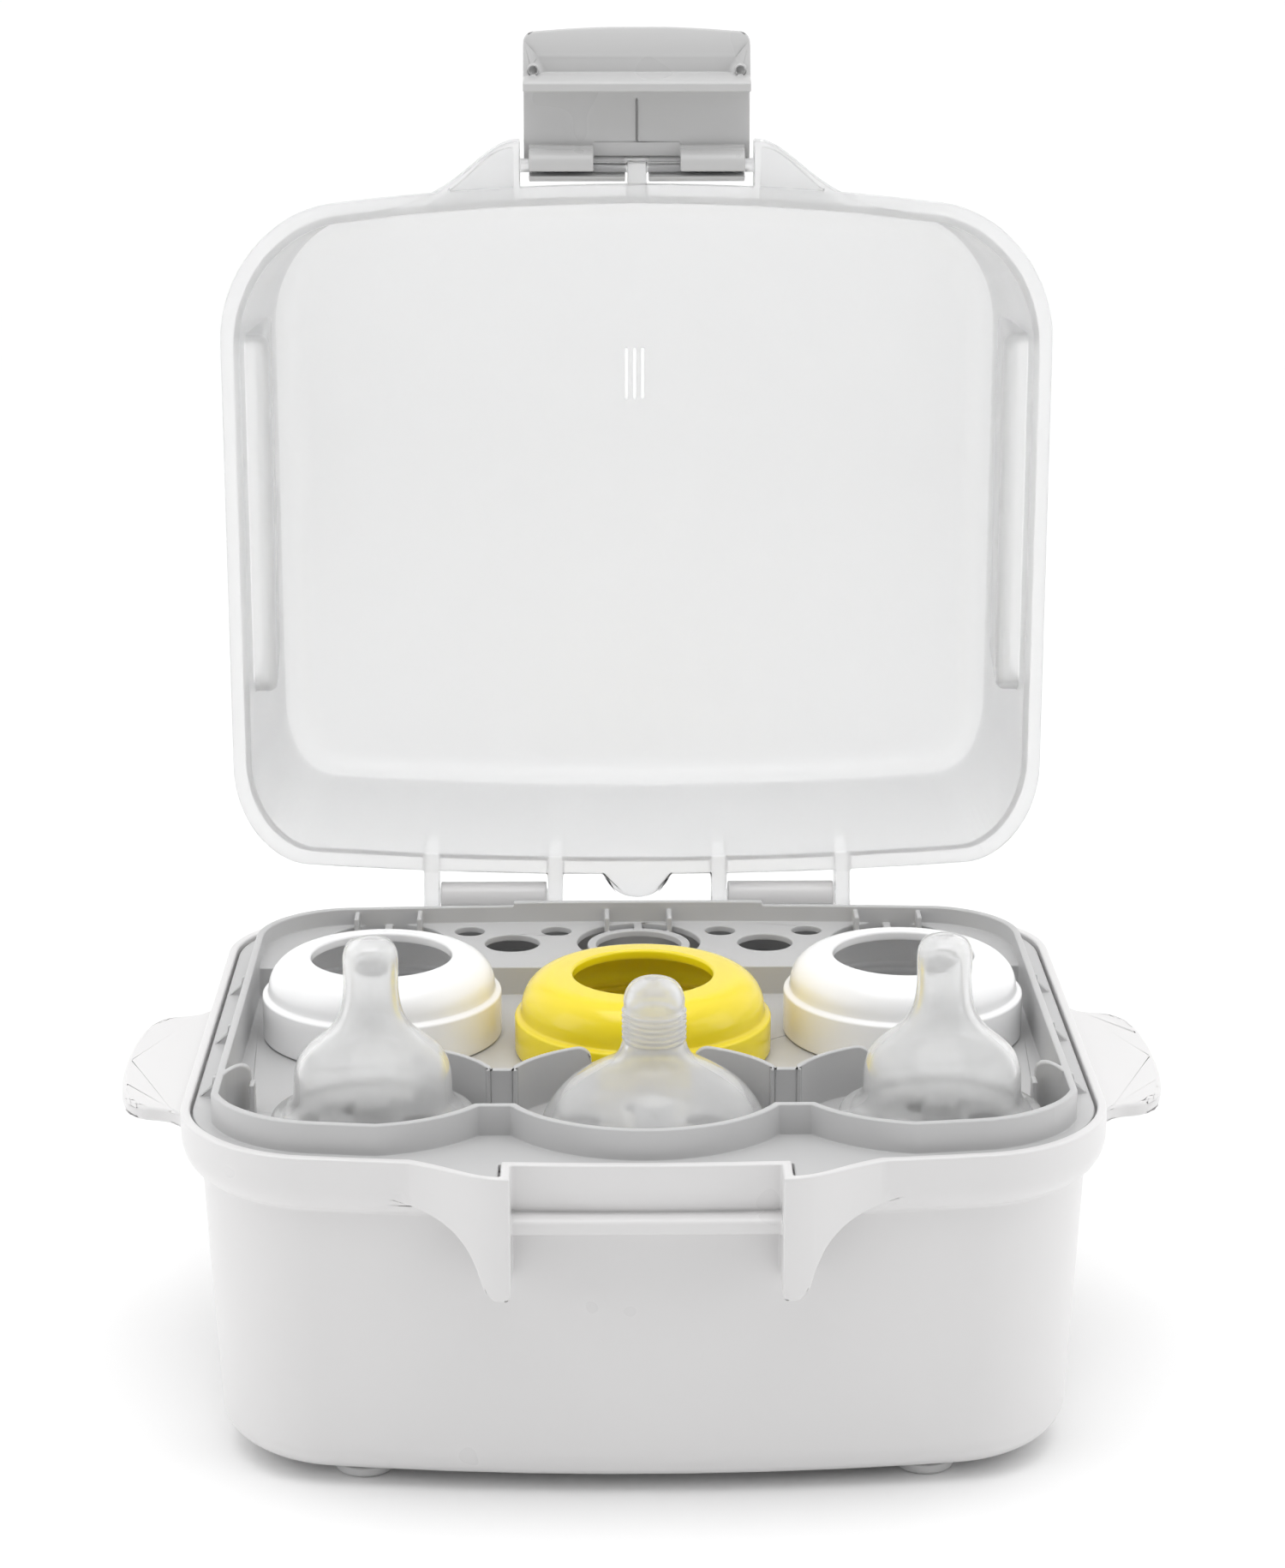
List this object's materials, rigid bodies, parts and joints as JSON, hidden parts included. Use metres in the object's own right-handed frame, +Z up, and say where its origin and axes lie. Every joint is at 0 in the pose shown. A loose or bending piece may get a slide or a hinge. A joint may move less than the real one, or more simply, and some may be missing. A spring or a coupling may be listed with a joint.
{
  "type": "bottle sterilizer",
  "caption": "Microwave steam sterilizer for baby bottles: tub with carrying tabs, lift-out tray, frosted hinged lid and front latch, shown open with collars and teats in the tray",
  "frame": {"origin": "the centre of the bounding box of the open pose, on the surface that the feet stand on", "axes": "+Z up, -Y the front with the latch, +X to the right seen from the front; the lid's hinge lies along X at the back"},
  "size_m": [0.283, 0.2932, 0.3565],
  "materials": {
    "tub_white": "glossy white polypropylene",
    "foot_rubber": "matt pale grey rubber",
    "tray_grey": "satin grey polypropylene",
    "lid_frosted": "frosted translucent polypropylene",
    "latch_grey": "glossy light grey plastic",
    "collar_white": "glossy white polypropylene",
    "collar_yellow": "glossy yellow polypropylene",
    "clear_silicone": "clear soft silicone"
  },
  "bodies": {
    "base": {"base_tub": "tub_white", "foot_front_left": "foot_rubber", "foot_front_right": "foot_rubber", "foot_rear_left": "foot_rubber", "foot_rear_right": "foot_rubber"},
    "tray": {"accessory_tray": "tray_grey"},
    "lid": {"lid_shell": "lid_frosted"},
    "latch": {"front_latch": "latch_grey"},
    "collar_left": {"collar_left": "collar_white"},
    "collar_middle": {"collar_middle": "collar_yellow"},
    "collar_right": {"collar_right": "collar_white"},
    "teat_left": {"teat_left": "clear_silicone"},
    "teat_middle": {"teat_middle": "clear_silicone"},
    "teat_right": {"teat_right": "clear_silicone"}
  },
  "joints": [
    {"name": "lid_hinge", "type": "hinge", "parent": "base", "child": "lid", "pos_m": [0, 0.076, 0.098], "axis": [-1, 0, 0], "range_deg": [-90, 0]},
    {"name": "latch_pivot", "type": "hinge", "parent": "lid", "child": "latch", "pos_m": [0, 0.0754, 0.318], "axis": [-1, 0, 0], "range_deg": [-90, 0]},
    {"name": "tray_lift", "type": "slide", "parent": "base", "child": "tray", "axis": [0, 0, 1], "range_m": [0, 0.12]},
    {"name": "collar_left_lift", "type": "slide", "parent": "tray", "child": "collar_left", "axis": [0, 0, 1], "range_m": [0, 0.08]},
    {"name": "collar_middle_lift", "type": "slide", "parent": "tray", "child": "collar_middle", "axis": [0, 0, 1], "range_m": [0, 0.08]},
    {"name": "collar_right_lift", "type": "slide", "parent": "tray", "child": "collar_right", "axis": [0, 0, 1], "range_m": [0, 0.08]},
    {"name": "teat_left_lift", "type": "slide", "parent": "tray", "child": "teat_left", "axis": [0, 0, 1], "range_m": [0, 0.08]},
    {"name": "teat_middle_lift", "type": "slide", "parent": "tray", "child": "teat_middle", "axis": [0, 0, 1], "range_m": [0, 0.08]},
    {"name": "teat_right_lift", "type": "slide", "parent": "tray", "child": "teat_right", "axis": [0, 0, 1], "range_m": [0, 0.08]}
  ]
}
